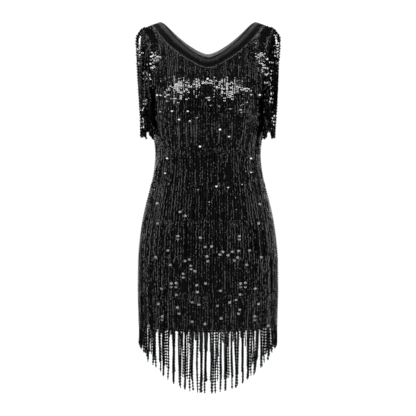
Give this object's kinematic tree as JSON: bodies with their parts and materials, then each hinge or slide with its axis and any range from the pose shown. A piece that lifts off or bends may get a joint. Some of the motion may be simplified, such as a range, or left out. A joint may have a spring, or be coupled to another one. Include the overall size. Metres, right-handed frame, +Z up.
{
  "type": "latin dance dress",
  "caption": "Sleeveless V-neck latin dance dress in black sequinned cloth, with string fringe over the body, armholes and pointed hem.",
  "frame": {"origin": "midway between the two neck points, where the shoulder seams meet the neck edge", "axes": "+Z up, the front faces -Y, +X to the right as seen from the front"},
  "size_m": [0.3802, 0.2467, 0.9475],
  "materials": {
    "sequinned_cloth": "black stretch cloth sewn with small sequins",
    "satin_binding": "black satin, soft sheen",
    "woven_tape": "matt black woven tape",
    "satin_piping": "dark grey satin piping",
    "sequin_strings": "glossy black sequins threaded on strings"
  },
  "bodies": {
    "root": {"front_panel": "sequinned_cloth", "back_panel": "sequinned_cloth", "neck_binding_front": "satin_binding", "neck_binding_back": "satin_binding", "neck_tape_front_a": "woven_tape", "neck_tape_front_b": "woven_tape", "neck_tape_back": "woven_tape", "neck_piping_front_a": "satin_piping", "neck_piping_front_b": "satin_piping", "neck_piping_back": "satin_piping", "sleeve_fringe_a": "sequin_strings", "sleeve_fringe_b": "sequin_strings", "hem_fringe_front": "sequin_strings", "hem_fringe_back": "sequin_strings"}
  },
  "joints": []
}
